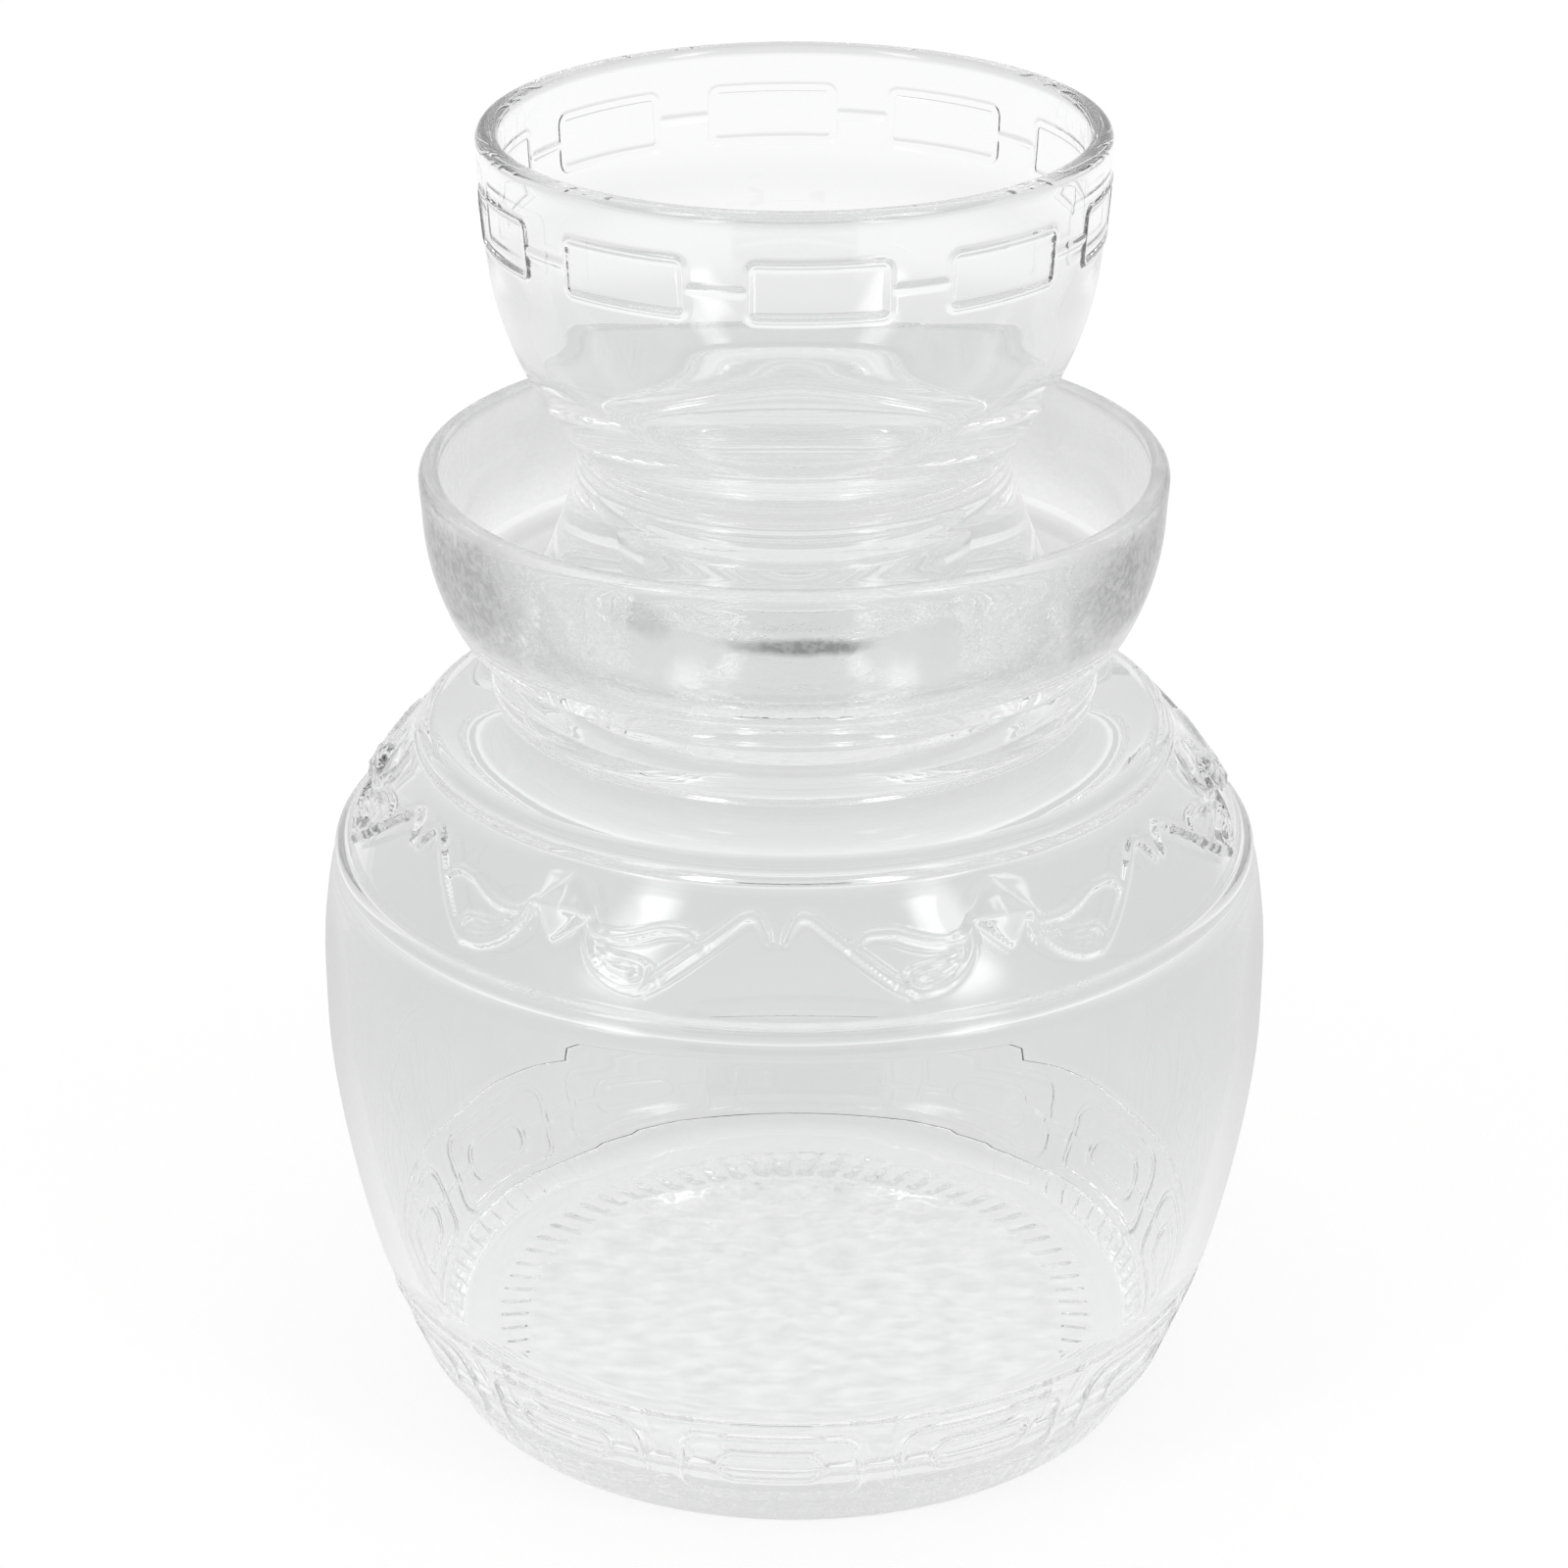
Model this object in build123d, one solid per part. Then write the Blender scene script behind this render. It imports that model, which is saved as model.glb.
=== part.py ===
from build123d import *
from math import atan2, cos, degrees, radians, sin
import os

# A water seal pickle jar of clear glass. The round vessel carries a water moat round its mouth,
# and a lid with a bowl on top stands in the moat with a hollow skirt over the mouth.
# Millimetres, +Z up. The origin is on the jar's axis at the level that it stands on, and the
# front is towards -Y. Radii are taken from the axis, and heights from the standing level.

# Vessel: base
foot_radius = 69.7
standing_width = 6.5
push_up = 3.6
bevel_height = 7.4
step_out = 0.6
step_rise = 0.8
band_height = 19.6
kink_depth = 0.5
kink_rise = 1.9

# Vessel: belly and shoulder
belly_radius = 90.3
belly_height = 79.0
seat_height = 141.2
ridge_half_width = 2.0
ridge_proud = 0.9
shoulder_crown = 0.8
dome_crown = 1.4

# Vessel: glass
wall = 4.0
floor_glass = 5.4
floor_corner = 12.0

# Moat: mouth collar, with the funnel and the throat under it
collar_radius = 31.0
collar_wall = 4.0
collar_rise = 20.0
funnel_spread = 15.0
mouth_funnel = 6.0

# Moat: neck and neck ring
neck_glass = 6.0
neck_height = 4.2
neck_ring_spread = 9.0
neck_ring_height = 4.8

# Moat: trough
under_rise = 4.6
moat_floor_glass = 4.2
moat_floor_corner = 2.6
moat_depth = 27.6
moat_width = 15.1
moat_wall = 4.2
moat_draft = 3.0
moat_bend_rise = 5.0
moat_rim_bead = 0.4

# Lid: skirt
collar_gap = 4.5
skirt_wall = 4.0
skirt_spread = 10.5
skirt_flare = 1.6
skirt_corner = 4.0
roof_clearance = 7.8
lid_clearance = 0.3

# Lid: bowl
bowl_rim_radius = 57.1
bowl_depth = 59.0
bowl_wall = 4.2
bowl_side_crown = 0.35
bowl_floor_glass = 4.2
bowl_floor_drop = 1.0

# Raised lines on the bowl
bowl_frames = 10
bowl_frame_width = 24.0
bowl_frame_height = 10.0
bowl_frame_drop = 14.0
bowl_frame_phase = 4.4
bowl_frame_corner = 1.4

# Raised lines on the base band
base_frames = 12
base_frame_width = 33.0
base_frame_foot_margin = 0.4
base_frame_top_margin = 3.6
base_frame_phase = -3.3
base_frame_corner = 4.0
racetrack_width = 19.5
racetrack_height = 7.2

# Four-faced studs on the shoulder
studs = 6
stud_width = 12.0
stud_length = 13.6
stud_proud = 2.2
stud_rise = 3.4
stud_phase = 28.0

# Raised lines in general
line_width = 1.2
line_proud = 0.6
link_proud = 0.5
line_root = 0.5
overrun = 5.0


def turned(edges):
    # A solid of revolution about the jar's axis. The outline is drawn as radius and height.
    return revolve(Plane.XZ * make_face(edges), Axis.Z)


def chain(*points):
    return Polyline(*points).edges()


def bead(start, end, proud):
    # A round rib that stands proud to the right of the way from start to end.
    run = Vector(*end) - Vector(*start)
    middle = (Vector(*start) + Vector(*end)) / 2
    outwards = Vector(run.Y, -run.X).normalized()
    return ThreePointArc(start, middle + outwards * proud, end)


def between(start, end, share):
    return Vector(*start) * (1 - share) + Vector(*end) * share


# Radii outwards from the mouth, and heights upwards from the seat of the neck

mouth_radius = collar_radius - collar_wall
throat_radius = mouth_radius + funnel_spread
neck_radius = throat_radius + neck_glass
neck_ring_radius = neck_radius + neck_ring_spread
seat_radius = neck_ring_radius - neck_ring_height / 2
waist_radius = collar_radius + collar_gap + skirt_wall
skirt_foot_radius = waist_radius + skirt_spread
moat_rim_radius = skirt_foot_radius + moat_width + moat_wall
moat_bend_radius = moat_rim_radius - moat_draft

neck_level = seat_height + neck_ring_height + neck_height
under_level = neck_level + under_rise
moat_floor_height = under_level + moat_floor_glass
moat_rim_height = moat_floor_height + moat_depth
collar_height = moat_floor_height + collar_rise
skirt_roof_height = collar_height + roof_clearance
bowl_floor_height = skirt_roof_height + bowl_floor_glass
waist_height = bowl_floor_height - bowl_floor_drop
bowl_rim_height = bowl_floor_height + bowl_depth

# Outline of the vessel. The base widens from the foot towards the belly, and the shoulder
# closes from the belly to the seat. A lean is that of the outward normal, in degrees.

bevel_share, band_foot_share, band_top_share, belly_foot_share = 0.189, 0.228, 0.597, 0.631
belly_low_share, belly_low_rise_share = 0.58, 0.40
belly_high_share, belly_high_rise_share = 0.22, 0.66
lower_ridge_share, lower_ridge_rise_share = 0.896, 0.516
upper_ridge_share, upper_ridge_rise_share = 0.437, 0.884
foot_lean, low_lean, high_lean = -15, -12, 8
lower_lean, mid_lean, upper_lean, dome_lean = 25, 36, 46, 66

girth = belly_radius - foot_radius
bevel_radius = foot_radius + bevel_share * girth
band_foot_radius = foot_radius + band_foot_share * girth
band_top_radius = foot_radius + band_top_share * girth
belly_foot_radius = foot_radius + belly_foot_share * girth
step_height = bevel_height + step_rise
band_foot_height = step_height + step_out
band_top_height = band_foot_height + band_height
kink_height = band_top_height + kink_rise


def shoulder_point(share, rise_share):
    return (
        seat_radius + share * (belly_radius - seat_radius),
        belly_height + rise_share * (seat_height - belly_height),
    )


lower_ridge = shoulder_point(lower_ridge_share, lower_ridge_rise_share)
upper_ridge = shoulder_point(upper_ridge_share, upper_ridge_rise_share)


def slid(point, lean, distance):
    # A point moved along a surface whose normal leans by that many degrees.
    return Vector(*point) + Vector(-sin(radians(lean)), cos(radians(lean))) * distance


def sunk(point, lean, depth):
    # A point moved into the glass, against the surface's outward normal.
    return Vector(*point) - Vector(cos(radians(lean)), sin(radians(lean))) * depth


ridge_under = slid(lower_ridge, lower_lean, -ridge_half_width)
ridge_over = slid(lower_ridge, lower_lean, ridge_half_width)
top_ridge_under = slid(upper_ridge, upper_lean, -ridge_half_width)
top_ridge_over = slid(upper_ridge, upper_lean, ridge_half_width)
belly_foot = (belly_foot_radius, kink_height)
belly_top = (belly_radius, belly_height)
belly_low = (
    belly_foot_radius + belly_low_share * (belly_radius - belly_foot_radius),
    kink_height + belly_low_rise_share * (belly_height - kink_height),
)
belly_high = (
    belly_radius - belly_high_share * (belly_radius - ridge_under.X),
    belly_height + belly_high_rise_share * (ridge_under.Y - belly_height),
)
shoulder_mid = sunk(between(ridge_over, top_ridge_under, 1 / 2), mid_lean, -shoulder_crown)
seat_edge = (seat_radius, seat_height)
dome_mid = sunk(between(top_ridge_over, seat_edge, 1 / 2), dome_lean, -dome_crown)


def belly_line(depth):
    # The belly and shoulder, on the outside at depth 0 and on the inside at the wall's depth.
    def at(point, lean):
        return sunk(point, lean, depth)

    low = Spline(
        at(belly_foot, foot_lean),
        at(belly_low, low_lean),
        at(belly_top, 0),
        tangents=[(0.27, 1), (0, 1)],
    )
    high = Spline(
        at(belly_top, 0),
        at(belly_high, high_lean),
        at(ridge_under, lower_lean),
        tangents=[(0, 1), (-sin(radians(lower_lean)), cos(radians(lower_lean)))],
    )
    shoulder = ThreePointArc(
        at(ridge_over, lower_lean), at(shoulder_mid, mid_lean), at(top_ridge_under, upper_lean)
    )
    return low, high, shoulder


# Vessel

low, high, shoulder = belly_line(0)
outer = turned(
    [
        ThreePointArc(
            (-foot_radius + standing_width, 0), (0, push_up), (foot_radius - standing_width, 0)
        ).trim(1 / 2, 1),
        *chain(
            (foot_radius - standing_width, 0),
            (foot_radius, 0),
            (bevel_radius, bevel_height),
            (bevel_radius - step_out, step_height),
            (band_foot_radius, band_foot_height),
            (band_top_radius, band_top_height),
            (band_top_radius - kink_depth, band_top_height + kink_depth),
            belly_foot,
        ),
        low,
        high,
        bead(ridge_under, ridge_over, ridge_proud),
        shoulder,
        bead(top_ridge_under, top_ridge_over, ridge_proud),
        ThreePointArc(top_ridge_over, dome_mid, seat_edge),
        *chain(seat_edge, (0, seat_height), (0, push_up)),
    ]
)

floor_height = push_up + floor_glass
inner_low, inner_high, inner_shoulder = belly_line(wall)
inner_foot = inner_low @ 0
inner_dome_end = (throat_radius, seat_height - wall)

# The wall runs on down the band and turns into the floor with a round corner
band_lean = -degrees(atan2(band_top_radius - band_foot_radius, band_height))
band_way = Vector(-sin(radians(band_lean)), cos(radians(band_lean)))
inner_band = sunk((band_top_radius, band_top_height), band_lean, wall + floor_corner)
corner_rise = (floor_height + floor_corner - inner_band.Y) / band_way.Y
corner_centre = inner_band + band_way * corner_rise
corner_foot = corner_centre - Vector(0, floor_corner)
corner_middle = sunk(corner_centre, (band_lean - 90) / 2, -floor_corner)
corner_end = sunk(corner_centre, band_lean, -floor_corner)
cavity = turned(
    [
        Line((0, floor_height), corner_foot),
        ThreePointArc(corner_foot, corner_middle, corner_end),
        Spline(corner_end, inner_foot, tangents=[band_way, inner_low % 0]),
        inner_low,
        inner_high,
        Line(inner_high @ 1, inner_shoulder @ 0),
        inner_shoulder,
        ThreePointArc(
            inner_shoulder @ 1,
            sunk(between(inner_shoulder @ 1, inner_dome_end, 1 / 2), dome_lean, -dome_crown),
            inner_dome_end,
        ),
        *chain(
            inner_dome_end,
            (throat_radius, seat_height + overrun),
            (0, seat_height + overrun),
            (0, floor_height),
        ),
    ]
)


# Raised lines: each motif is drawn flat, pushed out through the glass and cut to the surface

def skin(edge, proud):
    # A thin sleeve along one line or arc of an outline, from the root of the raised lines to
    # their crest. The outline's outside lies to the right of its run.
    def beside(distance):
        normals = [Vector((edge % share).Y, -(edge % share).X) for share in (0, 1 / 2, 1)]
        return [edge @ share + normal * distance for share, normal in zip((0, 1 / 2, 1), normals)]

    root, crest = beside(-line_root), beside(proud)
    if edge.geom_type == GeomType.LINE:
        return turned(chain(root[0], root[2], crest[2], crest[0], root[0]))
    return turned(
        [
            ThreePointArc(*root),
            Line(root[2], crest[2]),
            ThreePointArc(*crest),
            Line(crest[0], root[0]),
        ]
    )


def around(motif, count, phase):
    return [Rot(0, 0, phase + 360 / count * turn) * motif for turn in range(count)]


def frame_outline(width, height, corner):
    outside = RectangleRounded(width, height, corner)
    inside = RectangleRounded(width - 2 * line_width, height - 2 * line_width, corner - line_width)
    return outside - inside


def pushed_out(flat, level, reach):
    return extrude(Plane((0, 0, level), x_dir=(1, 0, 0), z_dir=(0, -1, 0)) * flat, reach)


base_pitch = 2 * band_top_radius * sin(radians(180 / base_frames))
base_frame_height = band_height - base_frame_foot_margin - base_frame_top_margin
base_frame_level = band_foot_height + base_frame_foot_margin + base_frame_height / 2
base_motif = frame_outline(base_frame_width, base_frame_height, base_frame_corner)
base_motif += SlotOverall(racetrack_width, racetrack_height)
base_motif -= SlotOverall(racetrack_width - 2 * line_width, racetrack_height - 2 * line_width)
base_link = Rectangle(base_pitch - racetrack_width + line_width, line_width)
base_edge = Line((band_foot_radius, band_foot_height), (band_top_radius, band_top_height))
base_reach = band_top_radius + overrun
base_lines = skin(base_edge, line_proud) & pushed_out(base_motif, base_frame_level, base_reach)
base_links = skin(base_edge, link_proud) & pushed_out(base_link, base_frame_level, base_reach)

# Each stud is a low pyramid that stands square to the shoulder

stud_share = 1 / 2 + stud_rise / shoulder.length
stud_seat, stud_slope = shoulder @ stud_share, shoulder % stud_share
stud_plane = Plane(
    (0, -stud_seat.X, stud_seat.Y), x_dir=(1, 0, 0), z_dir=(0, -stud_slope.Y, -stud_slope.X)
)
stud_sunk = line_root * 2
stud_spread = (stud_proud + stud_sunk) / stud_proud / 2
stud_side, stud_end = stud_width * stud_spread, stud_length * stud_spread
stud_base = make_face(
    chain((stud_side, 0), (0, stud_end), (-stud_side, 0), (0, -stud_end), (stud_side, 0))
)
stud = stud_plane * loft([Pos(0, 0, -stud_sunk) * stud_base, Vertex(0, 0, stud_proud)])

jar_body = outer - cavity
jar_body += around(base_lines, base_frames, base_frame_phase)
jar_body += around(base_links, base_frames, base_frame_phase + 180 / base_frames)
jar_body += around(stud, studs, stud_phase)

# Moat, with the neck under it and the mouth collar inside it

under_share = 0.743
ring_top = (seat_radius, seat_height + neck_ring_height)
under_neck = (neck_radius, neck_level)
under_edge = (neck_radius + under_share * (moat_bend_radius - neck_radius), under_level)
bend = (moat_bend_radius, moat_floor_height + moat_bend_rise)
rim_foot = (moat_rim_radius - moat_rim_bead, moat_rim_height - 2 * moat_wall)
rim_side = (moat_rim_radius, moat_rim_height - moat_wall / 2)
rim_inside = (moat_rim_radius - moat_wall, moat_rim_height - moat_wall / 2)
floor_edge = (moat_bend_radius - moat_wall, moat_floor_height + moat_floor_corner)
collar_side = collar_height - collar_wall / 2
funnel_top = (mouth_radius, moat_floor_height + mouth_funnel / 2)
funnel_foot = (throat_radius, seat_height + mouth_funnel)

water_moat = turned(
    [
        *chain(
            funnel_foot,
            (throat_radius, seat_height),
            (seat_radius, seat_height),
        ),
        ThreePointArc(
            (seat_radius, seat_height),
            (neck_ring_radius, seat_height + neck_ring_height / 2),
            ring_top,
        ),
        Spline(ring_top, under_neck, tangents=[(-1, 0.25), (0, 1)]),
        Spline(under_neck, under_edge, tangents=[(0, 1), (1, 0.1)]),
        Spline(under_edge, bend, rim_foot, tangents=[(1, 1.2), (0.03, 1)]),
        Spline(rim_foot, rim_side, tangents=[(0.03, 1), (0, 1)]),
        ThreePointArc(
            rim_side, (moat_rim_radius - moat_wall / 2, moat_rim_height), rim_inside
        ),
        Line(rim_inside, floor_edge),
        ThreePointArc(
            floor_edge,
            (floor_edge[0] - moat_floor_corner / 3, moat_floor_height + moat_floor_corner / 3),
            (floor_edge[0] - moat_floor_corner, moat_floor_height),
        ),
        Line(
            (floor_edge[0] - moat_floor_corner, moat_floor_height),
            (collar_radius + moat_floor_corner, moat_floor_height),
        ),
        ThreePointArc(
            (collar_radius + moat_floor_corner, moat_floor_height),
            (collar_radius + moat_floor_corner / 3, moat_floor_height + moat_floor_corner / 3),
            (collar_radius, moat_floor_height + moat_floor_corner),
        ),
        Line((collar_radius, moat_floor_height + moat_floor_corner), (collar_radius, collar_side)),
        ThreePointArc(
            (collar_radius, collar_side),
            (collar_radius - collar_wall / 2, collar_height),
            (mouth_radius, collar_side),
        ),
        Line((mouth_radius, collar_side), funnel_top),
        Spline(funnel_top, funnel_foot, tangents=[(0, -1), (0, -1)]),
    ]
)

# Lid

bowl_turn_share, bowl_turn_rise_share = 0.551, 0.25
bowl_side_share, bowl_side_rise_share = 0.898, 0.5667
bowl_floor_share = 0.658
side_lean, turn_lean = -7, -32


def bowl_point(share, rise_share):
    return (
        waist_radius + share * (bowl_rim_radius - waist_radius),
        waist_height + rise_share * (bowl_rim_height - waist_height),
    )


rim_level = bowl_rim_height - bowl_wall / 2
rim_out = (bowl_rim_radius, rim_level)
rim_in = (bowl_rim_radius - bowl_wall, rim_level)
side_out = bowl_point(bowl_side_share, bowl_side_rise_share)
turn_out = bowl_point(bowl_turn_share, bowl_turn_rise_share)
waist = (waist_radius, waist_height)
bowl_floor_edge = (bowl_floor_share * waist_radius, bowl_floor_height)
skirt_foot_height = moat_floor_height + lid_clearance
skirt_foot = (skirt_foot_radius, skirt_foot_height + skirt_wall / 2)
skirt_foot_in = (skirt_foot_radius - skirt_wall, skirt_foot_height + skirt_wall / 2)
skirt_top_in = (waist_radius - skirt_wall, skirt_roof_height - skirt_corner)
bowl_side = bead(side_out, rim_out, bowl_side_crown)
side_in = sunk(side_out, side_lean, bowl_wall)
turn_in = sunk(turn_out, turn_lean, bowl_wall)

lid_body = turned(
    [
        Line((0, skirt_roof_height), (skirt_top_in[0] - skirt_corner, skirt_roof_height)),
        ThreePointArc(
            (skirt_top_in[0] - skirt_corner, skirt_roof_height),
            (skirt_top_in[0] - skirt_corner / 3, skirt_roof_height - skirt_corner / 3),
            skirt_top_in,
        ),
        bead(skirt_top_in, skirt_foot_in, -skirt_flare),
        ThreePointArc(
            skirt_foot_in,
            (skirt_foot_radius - skirt_wall / 2, skirt_foot_height),
            skirt_foot,
        ),
        bead(skirt_foot, waist, -skirt_flare),
        Spline(waist, turn_out, side_out, tangents=[(0.9, 1), bowl_side % 0]),
        bowl_side,
        ThreePointArc(rim_out, (bowl_rim_radius - bowl_wall / 2, bowl_rim_height), rim_in),
        Spline(
            rim_in,
            side_in,
            turn_in,
            bowl_floor_edge,
            tangents=[(-0.01, -1), (-1, 0)],
        ),
        *chain(
            bowl_floor_edge,
            (0, bowl_floor_height),
            (0, skirt_roof_height),
        ),
    ]
)

bowl_pitch = 2 * bowl_rim_radius * sin(radians(180 / bowl_frames))
bowl_motif = frame_outline(bowl_frame_width, bowl_frame_height, bowl_frame_corner)
bowl_link = Rectangle(bowl_pitch - bowl_frame_width + line_width, line_width)
bowl_reach = bowl_rim_radius + overrun
bowl_frame_level = bowl_rim_height - bowl_frame_drop
bowl_lines = skin(bowl_side, line_proud) & pushed_out(bowl_motif, bowl_frame_level, bowl_reach)
bowl_links = skin(bowl_side, link_proud) & pushed_out(bowl_link, bowl_frame_level, bowl_reach)

lid = lid_body + around(bowl_lines, bowl_frames, bowl_frame_phase)
lid += around(bowl_links, bowl_frames, bowl_frame_phase + 180 / bowl_frames)

os.makedirs("parts", exist_ok=True)
for name, piece in {"jar_body": jar_body, "water_moat": water_moat, "lid": lid}.items():
    export_step(piece, f"parts/{name}.step")
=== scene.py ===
import math

import bpy
import numpy as np
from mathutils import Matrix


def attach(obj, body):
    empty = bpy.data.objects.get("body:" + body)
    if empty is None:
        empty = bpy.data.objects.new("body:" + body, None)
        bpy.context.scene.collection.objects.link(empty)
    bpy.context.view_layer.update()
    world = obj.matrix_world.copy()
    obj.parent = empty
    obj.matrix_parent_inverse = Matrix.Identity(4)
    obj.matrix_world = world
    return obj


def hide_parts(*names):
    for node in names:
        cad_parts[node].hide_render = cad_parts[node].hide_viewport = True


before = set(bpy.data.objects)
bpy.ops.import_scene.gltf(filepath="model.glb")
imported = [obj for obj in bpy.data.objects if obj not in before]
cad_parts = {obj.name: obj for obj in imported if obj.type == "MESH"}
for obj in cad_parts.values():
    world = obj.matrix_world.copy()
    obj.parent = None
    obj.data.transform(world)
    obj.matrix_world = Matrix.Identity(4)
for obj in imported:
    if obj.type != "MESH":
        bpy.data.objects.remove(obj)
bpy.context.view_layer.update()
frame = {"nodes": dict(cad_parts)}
print("frame loaded:", ", ".join(frame["nodes"]))

mm = 0.001


# Camera, at the photograph's distance and height

cameraSizes = {
    "distance": 0.774,
    "height": 0.4683,
    "pitch": 24.22,
    "lens": 102.2,
    "shift": -0.0066,
}
camera = bpy.data.objects.new("camera", bpy.data.cameras.new("camera"))
bpy.context.scene.collection.objects.link(camera)
camera.location = (0, -cameraSizes["distance"], cameraSizes["height"])
camera.rotation_euler = (math.radians(90 - cameraSizes["pitch"]), 0, 0)
camera.data.lens = cameraSizes["lens"]
camera.data.shift_x = cameraSizes["shift"]
bpy.context.scene.camera = camera


# Outlines: points of radius and height in millimetres, each stretch without its last point. Every call ends with the
# spacing of its points.

cornerShare = 3.4  # the middle of a rounded corner stands in from both its sides by the corner's size over this


def straight(start, end, spacing):
    start, end = np.array(start, float), np.array(end, float)
    steps = max(1, round(float(np.linalg.norm(end - start)) / spacing))
    return [start + (end - start) * i / steps for i in range(steps)]


def arcThrough(start, middle, end, spacing):
    a, b, c = (complex(*p) for p in (start, middle, end))
    w = (c - a) / (b - a)
    centre = (b - a) * (w - abs(w) ** 2) / (2j * w.imag) + a
    radius = abs(a - centre)
    first = np.angle(a - centre)
    sweep = np.angle((c - centre) / (a - centre))
    half = np.angle((b - centre) / (a - centre))
    if sweep * half < 0 or abs(half) > abs(sweep):
        sweep -= math.copysign(2 * math.pi, sweep)
    steps = max(2, round(abs(sweep) * radius / spacing))
    turns = [first + sweep * i / steps for i in range(steps)]
    return [np.array([centre.real + radius * math.cos(t), centre.imag + radius * math.sin(t)]) for t in turns]


def bead(start, end, proud, spacing):
    start, end = np.array(start, float), np.array(end, float)
    run = (end - start) / np.linalg.norm(end - start)
    middle = (start + end) / 2 + np.array([run[1], -run[0]]) * proud
    return arcThrough(start, middle, end, spacing)


def smoothThrough(points, firstWay, lastWay, spacing):
    # A cubic curve through the points, which leaves and arrives along the two directions
    points = [np.array(p, float) for p in points]
    spans = [np.linalg.norm(b - a) for a, b in zip(points, points[1:])]
    ways = [np.array(firstWay, float) / np.linalg.norm(firstWay)]
    for i in range(1, len(points) - 1):
        before, after = (points[i] - points[i - 1]) / spans[i - 1], (points[i + 1] - points[i]) / spans[i]
        way = (before * spans[i] + after * spans[i - 1]) / (spans[i - 1] + spans[i])
        ways.append(way)
    ways.append(np.array(lastWay, float) / np.linalg.norm(lastWay))
    made = []
    for a, b, wayA, wayB, span in zip(points, points[1:], ways, ways[1:], spans):
        steps = max(2, round(span / spacing))
        for i in range(steps):
            t = i / steps
            made.append(
                (2 * t**3 - 3 * t**2 + 1) * a
                + (t**3 - 2 * t**2 + t) * span * wayA
                + (3 * t**2 - 2 * t**3) * b
                + (t**3 - t**2) * span * wayB
            )
    return made


def leaned(point, lean, inwards):
    # The point moved inwards, against a surface normal that leans up from level by so many degrees
    turn = math.radians(lean)
    return np.array([point[0] - inwards * math.cos(turn), point[1] - inwards * math.sin(turn)])


# Turned shapes: an outline turned about the axis, with more segments where it is patterned

turns = {"middle": 60, "hidden": 90, "plain": 180, "rippled": 360, "pressed": 720, "finest": 1080}


def turnedGlass(name, zones):
    rows, coords, faces = [], [], []
    for segments, points in zones:
        for radius, height in points:
            if radius < 1e-6:
                rows.append((len(coords), 1))
                coords.append((0, 0, height * mm))
                continue
            rows.append((len(coords), segments))
            for i in range(segments):
                turn = 2 * math.pi * i / segments
                coords.append((radius * mm * math.sin(turn), -radius * mm * math.cos(turn), height * mm))
    for (firstA, countA), (firstB, countB) in zip(rows, rows[1:]):
        if countA == countB:
            for i in range(countA):
                j = (i + 1) % countA
                faces.append((firstA + i, firstA + j, firstB + j, firstB + i))
            continue
        widening = countA < countB
        few, fewCount = (firstA, countA) if widening else (firstB, countB)
        more, moreCount = (firstB, countB) if widening else (firstA, countA)
        many = moreCount // fewCount
        for i in range(fewCount):
            j = (i + 1) % fewCount
            for k in range(many):
                near = few + (i if k < many / 2 else j)
                one, other = more + i * many + k, more + (i * many + k + 1) % moreCount
                faces.append((near, other, one) if widening else (near, one, other))
            if fewCount > 1:
                half = more + i * many + (many + 1) // 2
                faces.append((few + i, few + j, half) if widening else (few + j, few + i, half))
    mesh = bpy.data.meshes.new(name)
    mesh.from_pydata(coords, [], faces)
    mesh.validate()
    mesh.update()
    mesh.shade_smooth()
    piece = bpy.data.objects.new(name, mesh)
    bpy.context.scene.collection.objects.link(piece)
    return piece


# Raised lines: a stroke is a row of points on the glass with a half width at each

def strokeCloud(name, strokes):
    points = np.array([p for stroke in strokes for p in stroke], float)
    mesh = bpy.data.meshes.new(name)
    mesh.from_pydata((points[:, :3] * mm).tolist(), [], [])
    halfWidth = mesh.attributes.new("halfWidth", "FLOAT", "POINT")
    halfWidth.data.foreach_set("value", (points[:, 3] * mm).astype(np.float32))
    cloud = bpy.data.objects.new(name, mesh)
    bpy.context.scene.collection.objects.link(cloud)
    cloud.hide_render = True
    return cloud


def closeSteps(points, spacing=0.22):
    # Points along a line, so close together that their ridge has no gaps
    points = [np.array(p, float) for p in points]
    made = []
    for a, b in zip(points, points[1:]):
        steps = max(1, math.ceil(np.linalg.norm((b - a)[:2]) / spacing))
        made += [a + (b - a) * i / steps for i in range(steps)]
    return made + [points[-1]]


def curvedSteps(points, count=14):
    # A Catmull line through a few points, so that a drawn scroll has no corners
    points = [np.array(p, float) for p in points]
    ends = [2 * points[0] - points[1], *points, 2 * points[-1] - points[-2]]
    made = []
    for a, b, c, d in zip(ends, ends[1:], ends[2:], ends[3:]):
        for i in range(count):
            t = i / count
            square, cube = (2 * a - 5 * b + 4 * c - d) * t**2, (3 * b - a - 3 * c + d) * t**3
            made.append(0.5 * (2 * b + (c - a) * t + square + cube))
    return closeSteps(made + [points[-1]])


def roundedLoop(width, height, corner):
    # The outline of a rectangle with rounded corners, about its centre
    loop = []
    for sideX, sideY, start in ((1, 1, 0), (-1, 1, 90), (-1, -1, 180), (1, -1, 270)):
        centre = (sideX * (width / 2 - corner), sideY * (height / 2 - corner))
        for turn in range(0, 91, 15):
            angle = math.radians(start + turn)
            loop.append((centre[0] + corner * math.cos(angle), centre[1] + corner * math.sin(angle)))
    return loop + [loop[0]]


def widened(points, halfWidth):
    return [np.append(p[:2], halfWidth) for p in points]


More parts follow.
